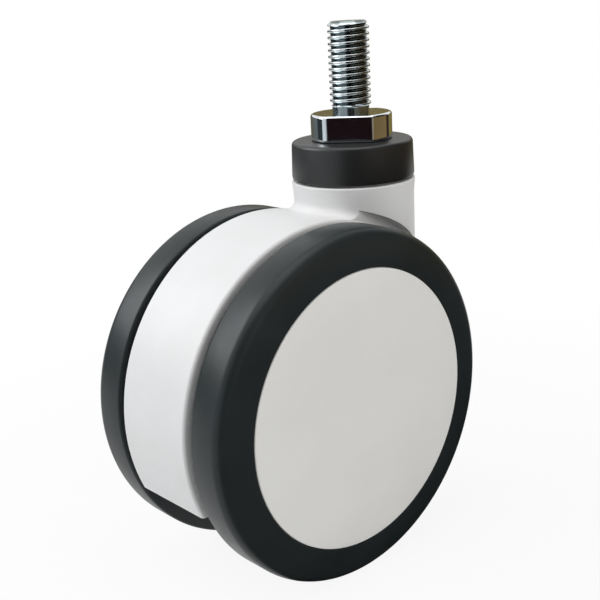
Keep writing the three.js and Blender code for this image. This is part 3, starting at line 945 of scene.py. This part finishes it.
# %% Merge the slivers that the cuts left
CLOSE_POINTS = 0.005
SHORTEST_EDGE = 0.002
cleaned = bmesh.new()
cleaned.from_mesh(housing.data)
bmesh.ops.remove_doubles(cleaned, verts=cleaned.verts, dist=CLOSE_POINTS * MM)
bmesh.ops.dissolve_degenerate(cleaned, edges=cleaned.edges, dist=SHORTEST_EDGE * MM)
print("open edges:", sum(1 for e in cleaned.edges if not e.is_manifold))
cleaned.to_mesh(housing.data)
cleaned.free()
keep_flats_flat(housing)
finish_piece(housing, "housing", "housing", nylon)

# %% [markdown]
# ## The wheels
#
# Each wheel is a dark core on a ball bearing, with a rubber tyre moulded round it and a white
# cover that snaps into the tyre's lip. The tyre's outer shoulder is a wide round that runs out
# into a slightly sloping side. Both wheels are the same, laid the other way round.

# %% Tyre outline
WHEEL_SIDES = 256
TYRE_BORE = 43.05
LIP_RADIUS = 39.6
CORNER_Y = 27.16
SHOULDER = 2.75
TREAD_EDGE = 0.7
LIP_EDGE = 0.25
LIP_DEPTH = 2
tyre_inner, tyre_outer = tyre_low[1], tyre_high[1]
rim_seat = tyre_outer - LIP_DEPTH

tyre_outline = [
    (TYRE_BORE, tyre_inner),
    (wheel_radius, tyre_inner),
    (wheel_radius, CORNER_Y),
    (LIP_RADIUS, tyre_outer),
    (LIP_RADIUS, rim_seat),
    (TYRE_BORE, rim_seat),
]
print(f"tyre: {wheel_radius:.1f} mm radius, {tyre_outer - tyre_inner:.1f} mm wide")

# %% Hub cover outline
COVER_DOME = 0.2
DOME_RINGS = (0.75, 0.5, 0.25, 0)
COVER_WALL = 1.8
COVER_EDGE = 0.4
SKIRT_OUTER = 38.8
SKIRT_INNER = 37.5
COVER_GAP = 0.2
COVER_SEAT_GAP = 0.1
cover_radius = LIP_RADIUS - COVER_GAP
cover_top = cover_high[1]
cover_under = cover_top - COVER_WALL
cover_seat = rim_seat + COVER_SEAT_GAP
skirt_foot = cover_low[1]

cover_outline = [
    (0, cover_under),
    (SKIRT_INNER, cover_under),
    (SKIRT_INNER, skirt_foot),
    (SKIRT_OUTER, skirt_foot),
    (SKIRT_OUTER, cover_seat),
    (cover_radius, cover_seat),
    (cover_radius, cover_top - COVER_DOME),
]
for share in DOME_RINGS:
    cover_outline.append((cover_radius * share, cover_top - COVER_DOME * share**2))
print(f"hub cover: {cover_radius:.1f} mm radius")

# %% Wheel core outline
HUB_RADIUS = 16.5
BEARING_BORE = 13.05
BEARING_LIP = 12
RIM_OUTER = 42.95
RIM_INNER = 39
RIM_INSET = 0.5
DISC_THICKNESS = 3
HUB_TOP = 23.7
LIP_THICKNESS = 1
hub_inner = core_low[1]
rim_inner = tyre_inner + RIM_INSET
rim_top = core_high[1]
disc_top = rim_inner + DISC_THICKNESS

core_outline = [
    (BEARING_LIP, hub_inner),
    (HUB_RADIUS, hub_inner),
    (HUB_RADIUS, rim_inner),
    (RIM_OUTER, rim_inner),
    (RIM_OUTER, rim_top),
    (RIM_INNER, rim_top),
    (RIM_INNER, disc_top),
    (HUB_RADIUS, disc_top),
    (HUB_RADIUS, HUB_TOP),
    (BEARING_BORE, HUB_TOP),
    (BEARING_BORE, hub_inner + LIP_THICKNESS),
    (BEARING_LIP, hub_inner + LIP_THICKNESS),
]
print(f"wheel core: {RIM_OUTER:.1f} mm radius")

# %% Make both wheels
CORE_SIDES = 128
RIM_EDGE = 0.3
DISC_EDGE = 0.8
for name, side in (("left", 1), ("right", -1)):
    tyre = spin_outline(tyre_outline, WHEEL_SIDES)
    round_ring(tyre, wheel_radius, CORNER_Y, SHOULDER, segments=10)
    round_ring(tyre, wheel_radius, tyre_inner, TREAD_EDGE, segments=4)
    round_ring(tyre, LIP_RADIUS, tyre_outer, LIP_EDGE, segments=3)
    lay_on_axle(tyre, side)
    finish_piece(
        mesh_object(f"{name}_tyre_tread", tyre), f"{name}_wheel", f"{name}_tyre", rubber
    )

    # The cover's finish carries painted light.
    cover = spin_outline(cover_outline, WHEEL_SIDES, closed=False)
    round_ring(cover, cover_radius, cover_top - COVER_DOME, COVER_EDGE, segments=4)
    lay_on_axle(cover, side)
    finish_piece(
        mesh_object(f"{name}_cover", cover),
        f"{name}_wheel",
        f"{name}_hub_cover",
        cover_nylon_painted_light,
    )

    core = spin_outline(core_outline, CORE_SIDES)
    round_ring(core, HUB_RADIUS, hub_inner, SMALL_EDGE, segments=3)
    round_ring(core, RIM_OUTER, rim_inner, RIM_EDGE, segments=2)
    round_ring(core, HUB_RADIUS, rim_inner, DISC_EDGE, segments=4)
    lay_on_axle(core, side)
    finish_piece(
        mesh_object(f"{name}_core", core),
        f"{name}_wheel",
        f"{name}_wheel_core",
        core_plastic,
    )

# %% [markdown]
# ## The pieces that keep their engineering shape
#
# Bearings, washers, rings, the axle and the bush sit inside and hardly show. Their shapes are
# right already, so only their finish changes: ground steel, or the tan plastic of a plain bush.

# %% Finishes for the inner pieces
not_of_steel = {"kingpin_bush": bush_plastic}
replaced = {
    "threaded_stem",
    "dust_cap",
    "housing",
    "left_tyre",
    "right_tyre",
    "left_hub_cover",
    "right_hub_cover",
    "left_wheel_core",
    "right_wheel_core",
}
for name, node in frame["nodes"].items():
    if name in replaced:
        continue
    for slot in node.material_slots:
        slot.material = not_of_steel.get(name, steel)
print("kept pieces:", len(frame["nodes"]) - len(replaced))

# %% [markdown]
# ## The studio
#
# The caster stands on a pale floor in soft light, against white. White nylon and near-black
# rubber are in one picture, so the light stays plain: a white wall facing the lamps must not
# burn out. The background's white therefore comes from the world and the floor as the camera
# sees them, and not from more light on the object.

# %% World
AMBIENT = 0.28
AMBIENT_TINT = (0.97, 0.985, 1, 1)
world = bpy.data.worlds.new("studio")
bpy.context.scene.world = world
world.use_nodes = True
tree = world.node_tree
tree.nodes.clear()
output = tree.nodes.new("ShaderNodeOutputWorld")
path = tree.nodes.new("ShaderNodeLightPath")
seen = tree.nodes.new("ShaderNodeMath")
seen.operation = "MAXIMUM"
seen_any = tree.nodes.new("ShaderNodeMath")
seen_any.operation = "MAXIMUM"
tree.links.new(path.outputs["Is Camera Ray"], seen.inputs[0])
tree.links.new(path.outputs["Is Glossy Ray"], seen.inputs[1])
tree.links.new(seen.outputs[0], seen_any.inputs[0])
tree.links.new(path.outputs["Is Transmission Ray"], seen_any.inputs[1])
ambient = tree.nodes.new("ShaderNodeBackground")
ambient.inputs["Strength"].default_value = AMBIENT
ambient.inputs["Color"].default_value = AMBIENT_TINT
white = tree.nodes.new("ShaderNodeBackground")
white.inputs["Strength"].default_value = 1
white.inputs["Color"].default_value = (1, 1, 1, 1)
mix = tree.nodes.new("ShaderNodeMixShader")
tree.links.new(seen_any.outputs[0], mix.inputs["Fac"])
tree.links.new(ambient.outputs[0], mix.inputs[1])
tree.links.new(white.outputs[0], mix.inputs[2])
tree.links.new(mix.outputs[0], output.inputs["Surface"])
print("world:", len(tree.nodes), "nodes")

# %% Floor
FLOOR_HALF = 6
FLOOR_PAINT = (0.82, 0.82, 0.82, 1)
FADE_FROM = 0.1
FADE_TO = 0.26
WHITE_NEAR = 0.88
floor_z = axle_z - wheel_radius
sheet = bmesh.new()
bmesh.ops.create_grid(sheet, x_segments=1, y_segments=1, size=FLOOR_HALF)
bmesh.ops.translate(sheet, verts=sheet.verts, vec=(0, 0, floor_z * MM))
floor = mesh_object("floor", sheet)

floor_paint = bpy.data.materials.new("floor_paint")
floor_paint.use_nodes = True
tree = floor_paint.node_tree
tree.nodes.clear()
output = tree.nodes.new("ShaderNodeOutputMaterial")
paint = tree.nodes.new("ShaderNodeBsdfDiffuse")
paint.inputs["Color"].default_value = FLOOR_PAINT
glow = tree.nodes.new("ShaderNodeEmission")
path = tree.nodes.new("ShaderNodeLightPath")
place = tree.nodes.new("ShaderNodeTexCoord")
distance = tree.nodes.new("ShaderNodeVectorMath")
distance.operation = "LENGTH"
fade = tree.nodes.new("ShaderNodeMapRange")
fade.inputs["From Min"].default_value = FADE_FROM
fade.inputs["From Max"].default_value = FADE_TO
fade.inputs["To Min"].default_value = WHITE_NEAR
fade.inputs["To Max"].default_value = 1
seen = tree.nodes.new("ShaderNodeMath")
seen.operation = "MAXIMUM"
share = tree.nodes.new("ShaderNodeMath")
share.operation = "MULTIPLY"
mix = tree.nodes.new("ShaderNodeMixShader")
tree.links.new(place.outputs["Object"], distance.inputs[0])
tree.links.new(distance.outputs["Value"], fade.inputs["Value"])
tree.links.new(path.outputs["Is Camera Ray"], seen.inputs[0])
tree.links.new(path.outputs["Is Glossy Ray"], seen.inputs[1])
tree.links.new(seen.outputs[0], share.inputs[0])
tree.links.new(fade.outputs["Result"], share.inputs[1])
tree.links.new(share.outputs[0], mix.inputs["Fac"])
tree.links.new(paint.outputs[0], mix.inputs[1])
tree.links.new(glow.outputs[0], mix.inputs[2])
tree.links.new(mix.outputs[0], output.inputs["Surface"])
floor.data.materials.append(floor_paint)
print(f"floor at {floor_z:.1f} mm")


# %% Lamps
def softbox(name, place, size, power, colour):
    """A square area lamp that looks at the caster."""
    data = bpy.data.lights.new(name, "AREA")
    data.shape = "SQUARE"
    data.size = size
    data.energy = power
    data.color = colour
    lamp = bpy.data.objects.new(name, data)
    aim = Vector((axle_x * MM, 0, axle_z * MM)) - Vector(place)
    lamp.matrix_world = Matrix.Translation(place) @ aim.to_track_quat("-Z", "Y").to_matrix().to_4x4()
    bpy.context.scene.collection.objects.link(lamp)
    print(f"{name}: {power} W, {aim.length:.2f} m away")


softbox("key", (-0.49, 0.463, 0.383), size=0.5, power=3.7, colour=(0.96, 0.98, 1))
softbox("top", (-0.1, -0.1, 0.65), size=0.6, power=1.75, colour=(0.98, 0.99, 1))
softbox("fill", (0.1, -0.8, 0.35), size=0.6, power=2.1, colour=(1, 0.98, 0.94))

# %% [markdown]
# Bright metal shows nothing but its surroundings, so a plated collar in an all-white room looks
# like white paint. A photographer stands dark and coloured cards round it, out of the picture.
# Here they are one low ring of cards, painted by direction, with a dark cloth behind and beside
# the camera. Only reflections see them: they neither light the caster nor shade it.

# %% Ring of cards
RING_RADIUS = 600
RING_TOP = 120
RING_SIDES = 96
CARDS = [
    (0, (132, 120, 70)),
    (40, (120, 108, 66)),
    (70, (96, 92, 76)),
    (112, (104, 112, 114)),
    (117, (44, 52, 54)),
    (135, (48, 56, 58)),
    (140, (226, 232, 236)),
    (200, (222, 228, 232)),
    (206, (26, 15, 17)),
    (233, (28, 17, 19)),
    (240, (150, 142, 128)),
    (280, (140, 128, 104)),
    (288, (122, 102, 66)),
    (338, (130, 110, 74)),
    (342, (52, 38, 36)),
    (353, (56, 42, 38)),
    (357, (148, 137, 84)),
]


def seen_in_reflections_only(piece):
    """Hides a card from the camera and from the light."""
    piece.visible_camera = False
    piece.visible_diffuse = False
    piece.visible_transmission = False
    piece.visible_shadow = False


def glowing(name):
    """A material that glows evenly, and the socket of its colour."""
    material = bpy.data.materials.new(name)
    material.use_nodes = True
    tree = material.node_tree
    tree.nodes.clear()
    output = tree.nodes.new("ShaderNodeOutputMaterial")
    glow = tree.nodes.new("ShaderNodeEmission")
    tree.links.new(glow.outputs[0], output.inputs["Surface"])
    return material, tree, glow.inputs["Color"]


ring_wall = [(RING_RADIUS, floor_z), (RING_RADIUS, RING_TOP)]
ring = mesh_object("card_ring", spin_outline(ring_wall, RING_SIDES, closed=False))
material, tree, colour = glowing("card_colours")
place = tree.nodes.new("ShaderNodeTexCoord")
direction = tree.nodes.new("ShaderNodeTexGradient")
direction.gradient_type = "RADIAL"
cards = tree.nodes.new("ShaderNodeValToRGB")
stops = sorted(((degrees / 360 + 0.5) % 1, linear(*paint)) for degrees, paint in CARDS)
elements = cards.color_ramp.elements
while len(elements) < len(stops):
    elements.new(0.5)
for element, (position, paint) in zip(elements, stops):
    element.position = position
    element.color = paint
tree.links.new(place.outputs["Object"], direction.inputs["Vector"])
tree.links.new(direction.outputs["Fac"], cards.inputs["Fac"])
tree.links.new(cards.outputs["Color"], colour)
ring.data.materials.append(material)
seen_in_reflections_only(ring)
print("cards:", len(CARDS), "colours round the ring")

# %% Dark cloth beside the camera and on the table
CLOTH_TOP = 700
CLOTH_FROM = math.radians(203)
CLOTH_ARC = math.radians(150)
CLOTH_STEPS = 40
CLOTH_COLOUR = (30, 25, 25)
ABOVE_FLOOR = 1
cloth = bmesh.new()
hung = [cloth.verts.new((RING_RADIUS * MM, 0, height * MM)) for height in (RING_TOP, CLOTH_TOP)]
laid_height = (floor_z + ABOVE_FLOOR) * MM
laid = [cloth.verts.new((radius * MM, 0, laid_height)) for radius in (1, RING_RADIUS)]
hems = [cloth.edges.new(hung), cloth.edges.new(laid)]
bmesh.ops.rotate(
    cloth, verts=cloth.verts, cent=(0, 0, 0), matrix=Matrix.Rotation(CLOTH_FROM, 3, "Z")
)
spin_up(cloth, cloth.verts[:] + hems, CLOTH_ARC, CLOTH_STEPS)
cloth_piece = mesh_object("dark_cloth", cloth)
material, tree, colour = glowing("cloth_colour")
colour.default_value = linear(*CLOTH_COLOUR)
cloth_piece.data.materials.append(material)
seen_in_reflections_only(cloth_piece)
print("dark cloth:", len(cloth_piece.data.polygons), "faces")

# %% View transform
bpy.context.scene.view_settings.view_transform = "Standard"
